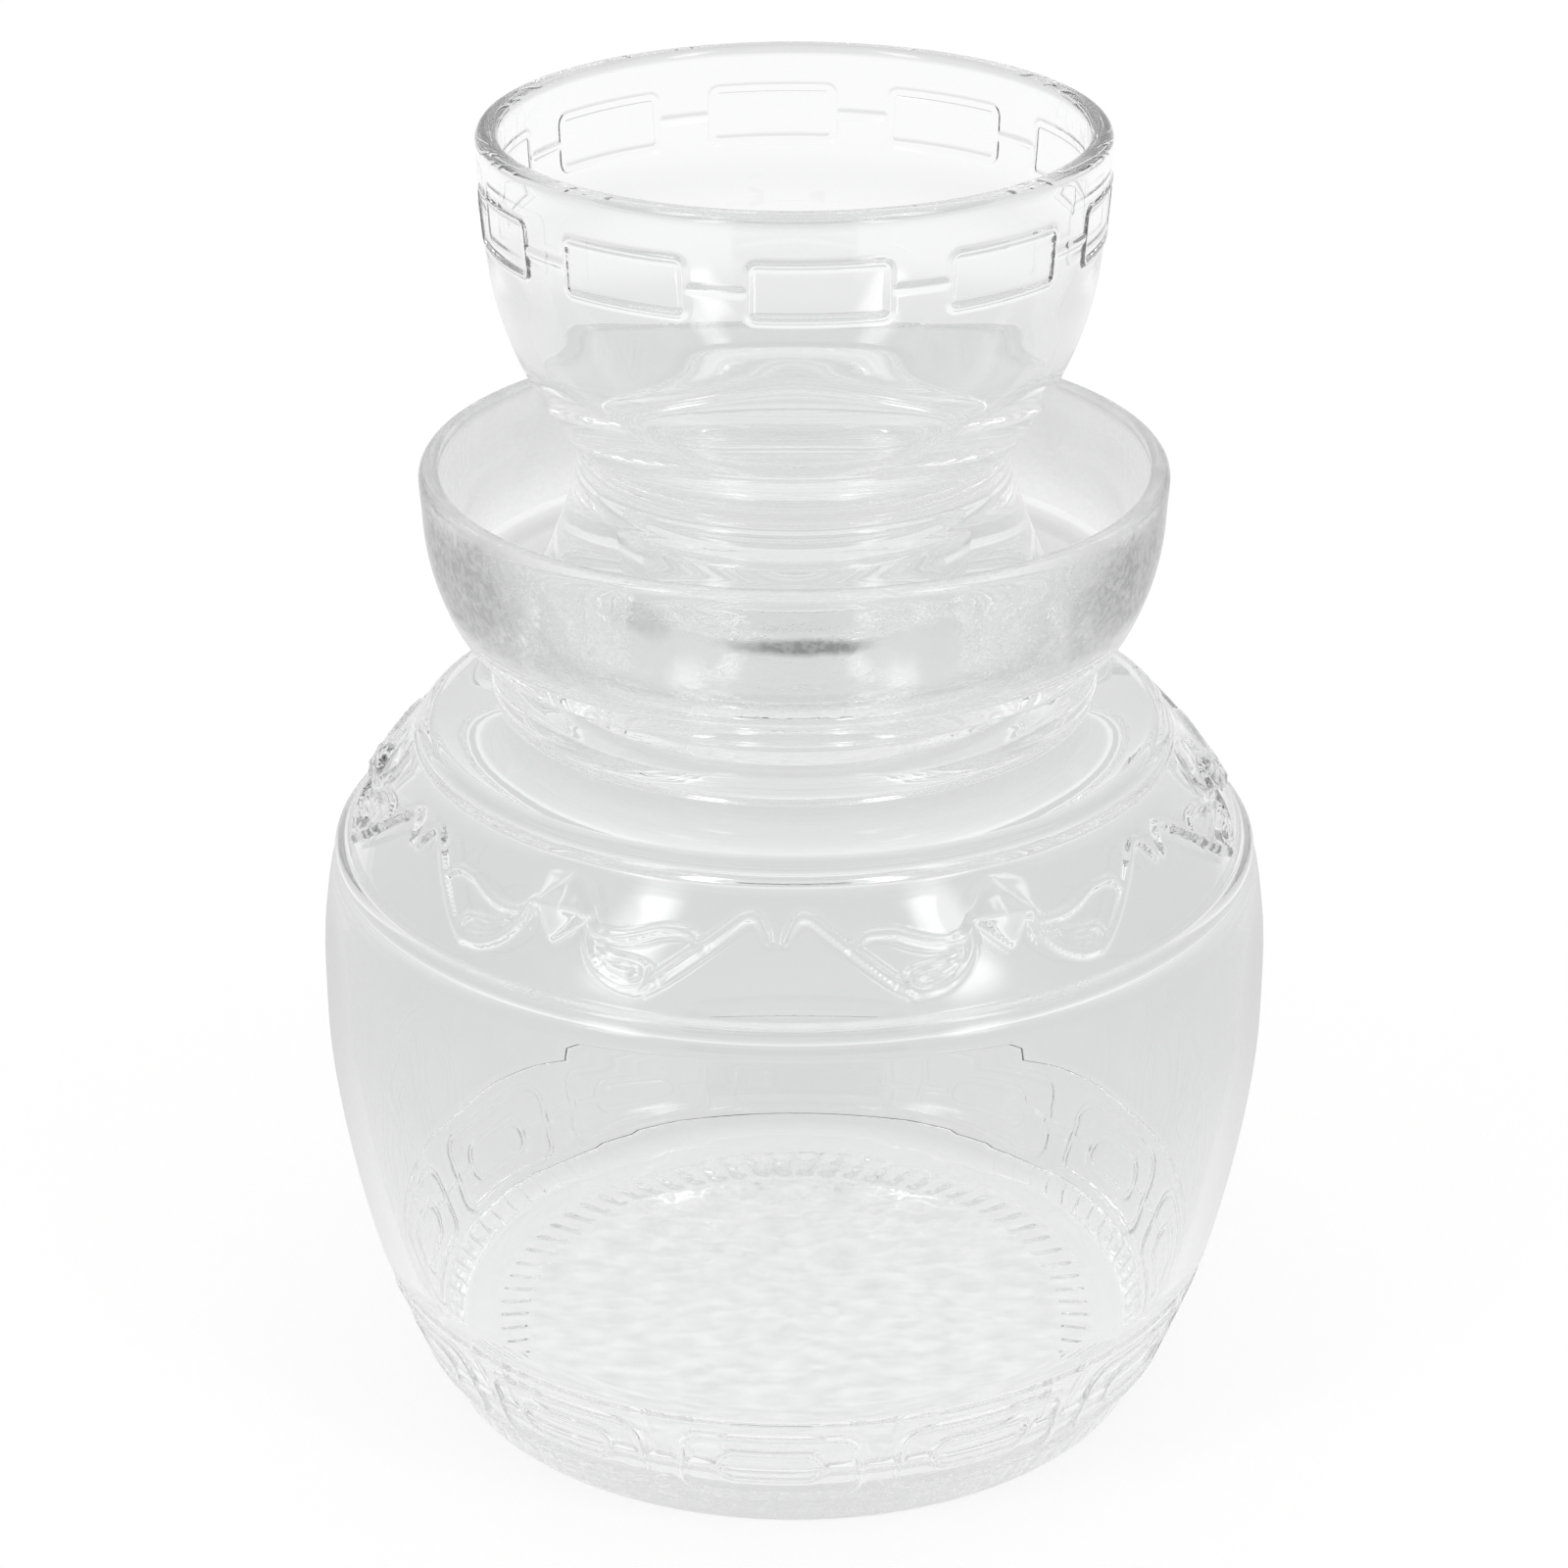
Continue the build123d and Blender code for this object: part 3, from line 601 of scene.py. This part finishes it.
def jarOutline(z):
    lower, upper = np.array(z["lowerRidge"]), np.array(z["upperRidge"])
    lowerTurn, upperTurn = math.radians(z["lowerLean"]), math.radians(z["upperLean"])
    lowerWay = np.array([-math.sin(lowerTurn), math.cos(lowerTurn)])
    upperWay = np.array([-math.sin(upperTurn), math.cos(upperTurn)])
    half, wall = z["ridgeHalf"], z["wall"]
    lowerIn, lowerOut = lower - lowerWay * half, lower + lowerWay * half
    upperIn, upperOut = upper - upperWay * half, upper + upperWay * half
    middle = leaned((lowerOut + upperIn) / 2, z["middleLean"], -z["shoulderCrown"])
    seat = np.array(z["seat"])
    dome = leaned((upperOut + seat) / 2, z["domeLean"], -z["domeCrown"])
    stepHeight = z["bevel"][1] + z["stepRise"]
    standing = z["footRadius"] - z["standingWidth"]

    under = arcThrough((-standing, 0), (0, z["pushUp"]), (standing, 0), 1.1)
    zones = [(turns["middle"], [(0, z["pushUp"])] + [p for p in under if 1.0 < p[0] < z["underMiddle"]][::4])]
    zones.append((turns["plain"], [p for p in under if z["underMiddle"] <= p[0] < z["ribsInner"]][::4]))
    zones.append((turns["rippled"], [p for p in under if z["ribsInner"] <= p[0] <= z["ribsOuter"]]))
    zones.append((turns["plain"], [p for p in under if p[0] > z["ribsOuter"]][::3]
                  + straight((standing, 0), (z["footRadius"] - z["footEdge"], 0), 3.0)))
    footSide = (z["footRadius"] + z["footSwell"], z["footEdge"])
    zones.append((turns["pressed"], bead((z["footRadius"] - z["footEdge"], 0), footSide, z["footSwell"], 0.6)
                  + straight(footSide, z["bevel"], 1.6)
                  + [z["bevel"], (z["bevel"][0] - z["stepOut"], stepHeight)]))
    band = straight(z["bandFoot"], z["bandTop"], 0.7)
    zones.append((turns["pressed"], [p for p in band if p[1] < z["bandTop"][1] - z["bandMargin"]]))
    zones.append((turns["plain"], [p for p in band if p[1] >= z["bandTop"][1] - z["bandMargin"]]
                  + [z["bandTop"], (z["bandTop"][0] - z["kinkDepth"], z["bandTop"][1] + z["kinkDepth"])]
                  + smoothThrough([z["bellyFoot"], z["bellyLow"], z["belly"]], z["bellyWay"], (0, 1), 4.5)
                  + smoothThrough([z["belly"], z["bellyHigh"], lowerIn], (0, 1), lowerWay, 4.0)
                  + bead(lowerIn, lowerOut, z["ridgeProud"], 0.45)))
    shoulder = arcThrough(lowerOut, middle, upperIn, 0.66)
    lowPlain, highPlain = lowerOut[1] + z["shoulderMargin"], upperIn[1] - z["shoulderMargin"] / 2
    zones.append((turns["plain"], [p for p in shoulder if p[1] < lowPlain]))
    zones.append((turns["pressed"], [p for p in shoulder if lowPlain <= p[1] <= highPlain]))
    zones.append((turns["plain"], [p for p in shoulder if p[1] > highPlain]
                  + bead(upperIn, upperOut, z["ridgeProud"], 0.45)
                  + arcThrough(upperOut, dome, seat, 2.0)))
    zones.append((turns["plain"], arcThrough(seat, z["neckRing"], z["neckRingTop"], 0.8)
                  + smoothThrough([z["neckRingTop"], z["neck"]], (-1, 0.25), (0, 1), 0.9)
                  + smoothThrough([z["neck"], z["moatUnder"]], (0, 1), (1, 0.1), 1.3)))
    rimInside = (z["rim"][0] - z["moatWall"], z["rim"][1])
    floorEdge = (z["moatBend"][0] - z["moatWall"], z["moatFloor"] + z["floorCorner"])
    floorStart = (floorEdge[0] - z["floorCorner"], z["moatFloor"])
    third = z["floorCorner"] / cornerShare
    outerWall = [z["moatUnder"], z["moatBend"], z["rimFoot"]]
    zones.append((turns["plain"], smoothThrough(outerWall, (1, 1.2), z["rimWay"], 1.8)
                  + smoothThrough([z["rimFoot"], z["rim"]], z["rimWay"], (0, 1), 2.0)
                  + arcThrough(z["rim"], (z["rim"][0] - z["moatWall"] / 2, z["rimTop"]), rimInside, 0.9)
                  + straight(rimInside, floorEdge, 2.4)
                  + arcThrough(floorEdge, (floorEdge[0] - third, z["moatFloor"] + third), floorStart, 1.0)))
    collarEdge = (z["collar"] + z["floorCorner"], z["moatFloor"])
    collarFoot = (z["collar"], z["moatFloor"] + z["floorCorner"])
    collarSide = z["collarTop"] - z["collarWall"] / 2
    mouth = z["collar"] - z["collarWall"]
    funnelTop, funnelFoot = (mouth, z["moatFloor"] + z["funnel"] / 2), (z["throat"], z["seat"][1] + z["funnel"])
    zones.append((turns["hidden"], straight(floorStart, collarEdge, 3.0)
                  + arcThrough(collarEdge, (z["collar"] + third, z["moatFloor"] + third), collarFoot, 1.0)
                  + straight(collarFoot, (z["collar"], collarSide), 3.0)
                  + arcThrough((z["collar"], collarSide), (z["collar"] - z["collarWall"] / 2, z["collarTop"]),
                               (mouth, collarSide), 0.9)
                  + straight((mouth, collarSide), funnelTop, 3.0)
                  + smoothThrough([funnelTop, funnelFoot], (0, -1), (0, -1), 1.6)))
    lowerInner, upperInner = leaned(lowerOut, z["lowerLean"], wall), leaned(upperIn, z["upperLean"], wall)
    throatEnd = (z["throat"], z["seat"][1] - wall + z["throatEdge"])
    domeEnd = np.array((z["throat"] + z["domeEdge"][0], z["seat"][1] - wall - z["domeEdge"][1]))
    innerDome = leaned((upperInner + domeEnd) / 2, z["domeLean"], -z["domeCrown"])
    bellyIn = [leaned(z[p], lean, wall) for p, lean in zip(("bellyFoot", "bellyLow", "belly"), z["bellyLeans"])]
    highIn = [bellyIn[-1], leaned(z["bellyHigh"], z["highLean"], wall), leaned(lowerIn, z["lowerLean"], wall)]
    bellyDown = -np.array(z["bellyWay"])
    floor = z["pushUp"] + z["floorGlass"]
    corner = z["insideCorner"]
    bandLean = -math.degrees(math.atan2(z["bandTop"][0] - z["bandFoot"][0], z["bandTop"][1] - z["bandFoot"][1]))
    bandWay = np.array([-math.sin(math.radians(bandLean)), math.cos(math.radians(bandLean))])
    centre = leaned(z["bandTop"], bandLean, wall + corner)
    centre = centre + bandWay * (floor + corner - centre[1]) / bandWay[1]
    cornerEnd, cornerFoot = leaned(centre, bandLean, -corner), (centre[0], floor)
    inside = (
        straight(funnelFoot, throatEnd, 2.5)
        + smoothThrough([throatEnd, domeEnd], (0, -1), (1, -0.3), 1.3)
        + arcThrough(domeEnd, innerDome, upperInner, 3.0)
        + arcThrough(upperInner, leaned(middle, z["middleLean"], wall), lowerInner, 3.0)
        + smoothThrough([lowerInner, *highIn[::-1]], -lowerWay, (0, -1), 4.0)
        + smoothThrough(bellyIn[::-1], (0, -1), bellyDown, 5.0)
    )
    zones.append((turns["hidden"], inside))
    zones.append((turns["hidden"], smoothThrough([bellyIn[0], cornerEnd], bellyDown, -bandWay, 3.0)
                  + arcThrough(cornerEnd, leaned(centre, (bandLean - 90) / 2, -corner), cornerFoot, 1.5)
                  + straight(cornerFoot, (z["pebbled"], floor), 3.0)))
    zones.append((turns["rippled"], straight((z["pebbled"], floor), (z["pebbledInner"], floor), 1.25)))
    zones.append((turns["plain"], straight((z["pebbledInner"], floor), (z["floorMiddle"], floor), 1.1)))
    zones.append((turns["middle"], straight((z["floorMiddle"], floor), (1, floor), 1.2) + [(0, floor)]))
    return zones, band + [np.array(z["bandTop"])], shoulder + [upperIn], under


jarZones, bandLine, shoulderLine, underLine = jarOutline(jarSizes)
jar = turnedGlass("glassJar", jarZones)
print("jar turned:", len(jar.data.polygons), "faces")


def baseStrokes(z):
    pitch = 2 * math.pi * np.interp(z["level"], [p[1] for p in bandLine], [p[0] for p in bandLine]) / z["count"]
    half = z["halfWidth"]
    flat = [
        closeSteps(roundedLoop(z["width"], z["height"], z["corner"])),
        closeSteps(roundedLoop(z["trackWidth"], z["trackHeight"], z["trackCorner"])),
        closeSteps([(z["trackWidth"] / 2, 0), (pitch / 2, 0)]),
        closeSteps([(-z["trackWidth"] / 2, 0), (-pitch / 2, 0)]),
    ]
    return [ontoSide(bandLine, z["level"], widened(line, half)) for line in flat]


shoulderScroll = {
    "count": 6, "phase": -2.2, "proud": 1.05,
    "hook": [(0.9, 124.4, 0.5), (1.6, 126.4, 0.9), (2.7, 128.2, 1.2), (4.2, 128.3, 1.3), (6.0, 126.9, 1.3),
             (10.2, 122.9, 1.25), (14.6, 118.5, 1.1), (17.4, 115.9, 0.6)],
    "ribbon": [(26.0, 126.2, 0.7), (25.3, 124.7, 1.0), (23.6, 123.4, 1.2), (21.0, 123.4, 1.2), (18.2, 124.2, 1.2),
               (15.4, 125.4, 1.1), (12.4, 125.7, 1.0), (10.6, 124.9, 0.9), (10.0, 123.4, 0.7)],
    "stem": [(25.6, 124.6, 0.8), (25.0, 122.4, 1.1), (24.0, 120.2, 1.3), (22.2, 118.2, 1.4), (19.8, 116.9, 1.4),
             (17.6, 116.9, 1.3), (16.2, 118.2, 1.2), (16.6, 119.9, 1.0), (18.6, 120.4, 0.9), (20.8, 120.7, 0.9),
             (23.0, 121.6, 0.8)],
    "leaf": [(22.8, 120.2, 0.8), (20.6, 119.0, 1.3), (18.4, 118.5, 1.5)],
    "stud": {"round": 30.4, "level": 125.7, "halfWidth": 6.4, "halfHeight": 5.7, "proud": 2.6, "innerRadius": 70.0,
             "star": 0.75, "frameShare": 0.35, "frameRise": 5.0},
}


def scrollStrokes(z):
    strokes = []
    for name in ("hook", "ribbon", "stem", "leaf"):
        for side in (1, -1):
            mirrored = [(side * turn, height, half) for turn, height, half in z[name]]
            strokes.append(ontoTurn(shoulderLine, curvedSteps(mirrored)))
    return strokes


footNotches = {"count": 84, "phase": 0.0, "proud": -0.3,
               "line": [(-0.5, 1.6, 0.5), (0.3, 4.0, 0.95), (0.7, 6.4, 0.5)]}
bevelLine = [(jarSizes["footRadius"] + jarSizes["footSwell"], jarSizes["footEdge"]), jarSizes["bevel"]]

footRibs = {"count": 72, "phase": 2.5, "proud": 0.35, "inner": 54.0, "outer": 60.0, "halfWidth": 1.3}
footStroke = closeSteps([(0, -p[0], p[1], footRibs["halfWidth"]) for p in underLine
                         if footRibs["inner"] <= p[0] <= footRibs["outer"]])

patterns = [
    ("baseFrames", baseStrokes(baseFrames), baseFrames),
    ("shoulderScroll", scrollStrokes(shoulderScroll), shoulderScroll),
    ("footNotches", [ontoTurn(bevelLine, closeSteps(footNotches["line"], 0.1))], footNotches),
    ("footRibs", [footStroke], footRibs),
]
for name, strokes, values in patterns:
    addStage(jar, raisedLines, {"Strokes": strokeCloud(name, strokes), "Count": values["count"],
                                "Phase": math.radians(values["phase"]), "Proud": values["proud"] * mm,
                                "Material": jarGlass})
stud = shoulderScroll["stud"]
addStage(jar, raisedStuds, {"Count": shoulderScroll["count"],
                            "Phase": math.radians(shoulderScroll["phase"] + stud["round"]),
                            "Level": stud["level"] * mm, "Half Width": stud["halfWidth"] * mm,
                            "Half Height": stud["halfHeight"] * mm, "Proud": stud["proud"] * mm,
                            "Inner Radius": stud["innerRadius"] * mm, "Star": stud["star"],
                            "Frame Share": stud["frameShare"], "Frame Rise": stud["frameRise"],
                            "Material": jarGlass})
floorSkin = {"low": 5.0, "high": 12.0, "inner": -1.0, "outer": 56.0, "fade": 6.0, "scale": 230.0, "depth": 1.3}
addStage(jar, pressedSkin, {
    "Low": floorSkin["low"] * mm, "High": floorSkin["high"] * mm, "Inner Radius": floorSkin["inner"] * mm,
    "Outer Radius": floorSkin["outer"] * mm, "Fade": floorSkin["fade"] * mm, "Scale": floorSkin["scale"],
    "Detail": 1.0, "Depth": floorSkin["depth"] * mm, "Material": jarGlass})
settled(jar)
print("jar patterned:", len(jar.data.vertices), "points")


# Lid: bowl and hollow skirt as one piece of glass

lidSizes = {
    "rim": (57.1, 247.9), "rimTop": 250.0, "bowlWall": 4.2, "side": (55.3, 224.0), "sideCrown": 0.35,
    "sideLean": -7, "turn": (49.2, 205.0), "turnLean": -32, "waist": (39.5, 190.0),
    "bowlFloor": (26.0, 191.0), "skirtFoot": 50.0, "skirtFlare": 1.6, "skirtWall": 4.0,
    "skirtRoof": 186.8, "skirtCorner": 4.0, "clearance": 0.3,
    "middle": 14, "framesLow": 229.0, "framesHigh": 243.0,
}


def lidOutline(z):
    wall = z["skirtWall"]
    foot = jarSizes["moatFloor"] + z["clearance"]
    footOut, footIn = (z["skirtFoot"], foot + wall / 2), (z["skirtFoot"] - wall, foot + wall / 2)
    roofEdge = (z["waist"][0] - wall, z["skirtRoof"] - z["skirtCorner"])
    roofStart = (roofEdge[0] - z["skirtCorner"], z["skirtRoof"])
    third = z["skirtCorner"] / cornerShare
    rimCrest, rimIn = (z["rim"][0] - z["bowlWall"] / 2, z["rimTop"]), (z["rim"][0] - z["bowlWall"], z["rim"][1])
    side = bead(z["side"], z["rim"], z["sideCrown"], 0.4)
    sideWay = side[1] - side[0]
    sideIn, turnIn = leaned(z["side"], z["sideLean"], z["bowlWall"]), leaned(z["turn"], z["turnLean"], z["bowlWall"])
    low = [p for p in side if p[1] < z["framesLow"]]
    patterned = [p for p in side if z["framesLow"] <= p[1] <= z["framesHigh"]]
    high = [p for p in side if p[1] > z["framesHigh"]]
    zones = [
        (turns["middle"], [(0, z["skirtRoof"])] + straight((2, z["skirtRoof"]), (z["middle"], z["skirtRoof"]), 3.0)),
        (turns["plain"], straight((z["middle"], z["skirtRoof"]), roofStart, 3.0)
         + arcThrough(roofStart, (roofEdge[0] - third, z["skirtRoof"] - third), roofEdge, 0.8)
         + bead(roofEdge, footIn, -z["skirtFlare"], 1.5)
         + arcThrough(footIn, (z["skirtFoot"] - wall / 2, foot), footOut, 0.6)
         + bead(footOut, z["waist"], -z["skirtFlare"], 1.5)
         + smoothThrough([z["waist"], z["turn"], z["side"]], (0.9, 1), sideWay, 1.5)
         + low[::3]),
        (turns["finest"], patterned),
        (turns["plain"], high[::3] + arcThrough(z["rim"], rimCrest, rimIn, 0.6)
         + smoothThrough([rimIn, sideIn, turnIn, z["bowlFloor"]], (-0.01, -1), (-1, 0), 1.5)
         + straight(z["bowlFloor"], (z["middle"], z["bowlFloor"][1]), 2.0)),
        (turns["middle"], straight((z["middle"], z["bowlFloor"][1]), (2, z["bowlFloor"][1]), 3.0)
         + [(0, z["bowlFloor"][1])]),
    ]
    return zones, side + [np.array(z["rim"])]


lidZones, sideLine = lidOutline(lidSizes)
lid = turnedGlass("glassLid", lidZones)


def bowlStrokes(z):
    pitch = 2 * math.pi * lidSizes["rim"][0] / z["count"]
    flat = [
        closeSteps(roundedLoop(z["width"], z["height"], z["corner"])),
        closeSteps([(z["width"] / 2, 0), (pitch / 2, 0)]),
        closeSteps([(-z["width"] / 2, 0), (-pitch / 2, 0)]),
    ]
    return [ontoSide(sideLine, z["level"], widened(line, z["halfWidth"])) for line in flat]


addStage(lid, raisedLines, {"Strokes": strokeCloud("bowlFrames", bowlStrokes(bowlFrames)), "Count": bowlFrames["count"],
                            "Phase": math.radians(bowlFrames["phase"]), "Proud": bowlFrames["proud"] * mm,
                            "Material": lidGlass})
settled(lid)
print("lid patterned:", len(lid.data.vertices), "points")

for cloud in [o for o in bpy.data.objects if o.type == "MESH" and "halfWidth" in o.data.attributes]:
    if cloud not in (jar, lid):
        bpy.data.objects.remove(cloud)


# Placing on the frame

for piece, body, nodes, slot in ((jar, "jar", ("jar_body", "water_moat"), "jar_glass"),
                                 (lid, "lid", ("lid",), "lid_glass")):
    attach(piece, body)
    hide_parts(*nodes)


# Floor, backdrop and light

studio = {
    "floorSize": 3.0, "floorShare": 0.2, "floorLight": 0.8, "floorGap": 0.3, "bounces": 48,
    "behindFrom": -0.3, "behindTo": 0.7,
    # net: painted caustic light on the floor under the base, seen only in the glass
    "netScale": 150.0, "netStretch": 2.0, "netReach": 62.0, "netClear": 52.7, "netDepth": 0.4,
    "frontLevel": 0.84, "backLevel": 0.7,
    "windowRound": 49.0, "windowUp": 41.0, "windowHalfWide": 7.0, "windowHalfTall": 13.0, "windowSoft": 5.0,
    "windowLevel": 4.5,
    "lensUp": 22.0, "lensHalfWide": 28.0, "lensHalfTall": 6.0, "lensSoft": 1.5, "lensLevel": 0.05,
}
# How bright the floor looks through and in the glass, by distance from the jar's middle, behind it and before it;
# behind it the levels dip in a painted soft shadow of the jar
floorShadowBehind = [(0.0, 0.98), (65.0, 0.96), (80.0, 0.77), (220.0, 0.69), (420.0, 0.77), (900.0, 0.97)]
floorBefore = [(0.0, 0.98), (65.0, 0.98), (80.0, 1.0), (220.0, 0.92), (420.0, 0.85), (900.0, 0.82)]


def levelsAlong(tree, distance, stops):
    # A grey level that follows the distance in millimetres, through the given stops
    far = stops[-1][0]
    ramp = node(tree, "ShaderNodeValToRGB", {0: sums(tree, "DIVIDE", distance, far * mm)})
    ramp.color_ramp.interpolation = "EASE"
    while len(ramp.color_ramp.elements) < len(stops):
        ramp.color_ramp.elements.new(0.5)
    for element, (place, level) in zip(ramp.color_ramp.elements, stops):
        element.position = place / far
    for element, (place, level) in zip(ramp.color_ramp.elements, stops):
        element.color = (level, level, level, 1)
    return ramp.outputs[0]


def floorMaterial():
    material = newMaterial("paleFloor")
    tree = material.node_tree
    rays = node(tree, "ShaderNodeLightPath").outputs
    place = node(tree, "ShaderNodeTexCoord").outputs["Object"]
    xyz = node(tree, "ShaderNodeSeparateXYZ", {0: place}).outputs
    distance = node(tree, "ShaderNodeVectorMath", {0: place}, operation="LENGTH").outputs["Value"]
    behind = node(tree, "ShaderNodeMapRange", {
        "Value": sums(tree, "DIVIDE", xyz["Y"], distance), "From Min": studio["behindFrom"],
        "From Max": studio["behindTo"]}).outputs[0]
    both = node(tree, "ShaderNodeMix", {0: behind, 2: levelsAlong(tree, distance, floorBefore),
                                        3: levelsAlong(tree, distance, floorShadowBehind)})
    inGlass = sums(tree, "MAXIMUM", rays["Is Glossy Ray"], rays["Is Transmission Ray"])
    # Painted light: a net of caustic-like ripples of brightness on the floor under the jar's base
    narrow = node(tree, "ShaderNodeVectorMath", {0: place, 1: (1.0, studio["netStretch"], 1.0)}, operation="MULTIPLY")
    ripples = node(tree, "ShaderNodeTexNoise", {"Vector": narrow.outputs[0], "Scale": studio["netScale"],
                                                "Detail": 2.0}).outputs[0]
    under = node(tree, "ShaderNodeMapRange", {"Value": distance, "From Min": studio["netReach"] * mm,
                                              "From Max": studio["netClear"] * mm}).outputs[0]
    netShare = sums(tree, "MULTIPLY", under, studio["netDepth"])
    causticNet = sums(tree, "MULTIPLY", sums(tree, "SUBTRACT", ripples, 0.5), netShare)
    level = sums(tree, "ADD", both.outputs[0], causticNet)
    litShare = studio["floorShare"] * studio["floorLight"]  # what the world's light adds to the glow
    # Through and in the glass the floor glows with the painted shadow and caustic net; to the camera it glows evenly
    # white
    shown = sums(tree, "MULTIPLY", inGlass, sums(tree, "SUBTRACT", level, litShare))
    own = sums(tree, "MAXIMUM", shown, sums(tree, "MULTIPLY", rays["Is Camera Ray"], 1.0 - litShare))
    glow = node(tree, "ShaderNodeEmission", {"Color": (1, 1, 1, 1), "Strength": own})
    lit = node(tree, "ShaderNodeBsdfDiffuse", {"Color": (studio["floorShare"],) * 3 + (1,)})
    whole = node(tree, "ShaderNodeAddShader", {0: glow.outputs[0], 1: lit.outputs[0]})
    node(tree, "ShaderNodeOutputMaterial", {"Surface": whole.outputs[0]})
    return material


floorMesh = bpy.data.meshes.new("paleFloor")
side = studio["floorSize"]
level = -studio["floorGap"] * mm
floorMesh.from_pydata([(-side, -side, level), (side, -side, level), (side, side, level), (-side, side, level)], [],
                      [(0, 1, 2, 3)])
paleFloor = bpy.data.objects.new("paleFloor", floorMesh)
bpy.context.scene.collection.objects.link(paleFloor)
floorMesh.materials.append(floorMaterial())


def studioWorld():
    # Pale all round, greyer behind, with two tall soft windows and the dark strip at the lens
    world = bpy.data.worlds.new("studio")
    bpy.context.scene.world = world
    world.use_nodes = True
    tree = world.node_tree
    tree.nodes.clear()
    seen = node(tree, "ShaderNodeLightPath").outputs["Is Camera Ray"]
    way = node(tree, "ShaderNodeTexCoord").outputs["Generated"]
    xyz = node(tree, "ShaderNodeSeparateXYZ", {0: way}).outputs
    turn = sums(tree, "ABSOLUTE", sums(tree, "ARCTAN2", xyz["X"], sums(tree, "MULTIPLY", xyz["Y"], -1.0)))
    rise = sums(tree, "ARCSINE", xyz["Z"])

    def inside(value, centre, half, soft):
        # 1 within half a width of the centre, easing to 0 over the soft edge, all in degrees
        gap = sums(tree, "ABSOLUTE", sums(tree, "SUBTRACT", value, math.radians(centre)))
        edge = node(tree, "ShaderNodeMapRange", {
            "Value": gap, "From Min": math.radians(half - soft), "From Max": math.radians(half + soft),
            "To Min": 1.0, "To Max": 0.0}, interpolation_type="SMOOTHSTEP")
        return edge.outputs[0]

    around = node(tree, "ShaderNodeMapRange", {
        "Value": xyz["Y"], "From Min": -1.0, "From Max": 1.0, "To Min": studio["frontLevel"],
        "To Max": studio["backLevel"]}).outputs[0]
    window = sums(tree, "MULTIPLY",
                  inside(turn, studio["windowRound"], studio["windowHalfWide"], studio["windowSoft"]),
                  inside(rise, studio["windowUp"], studio["windowHalfTall"], studio["windowSoft"]))
    lens = sums(tree, "MULTIPLY", inside(turn, 0.0, studio["lensHalfWide"], studio["lensSoft"]),
                inside(rise, studio["lensUp"], studio["lensHalfTall"], studio["lensSoft"]))
    kept = sums(tree, "MULTIPLY_ADD", lens, studio["lensLevel"] - 1.0, 1.0)
    lit = sums(tree, "MULTIPLY_ADD", window, studio["windowLevel"], sums(tree, "MULTIPLY", around, kept))
    level = node(tree, "ShaderNodeMix", {0: seen, 2: lit, 3: 1.0})
    sky = node(tree, "ShaderNodeBackground", {"Color": (1, 1, 1, 1), "Strength": level.outputs[0]})
    node(tree, "ShaderNodeOutputWorld", {"Surface": sky.outputs[0]})


studioWorld()

bpy.context.scene.view_settings.view_transform = "Standard"
cycles = bpy.context.scene.cycles  # light is caught many times inside thick glass
cycles.max_bounces = cycles.transmission_bounces = cycles.glossy_bounces = studio["bounces"]

print("scene ready")
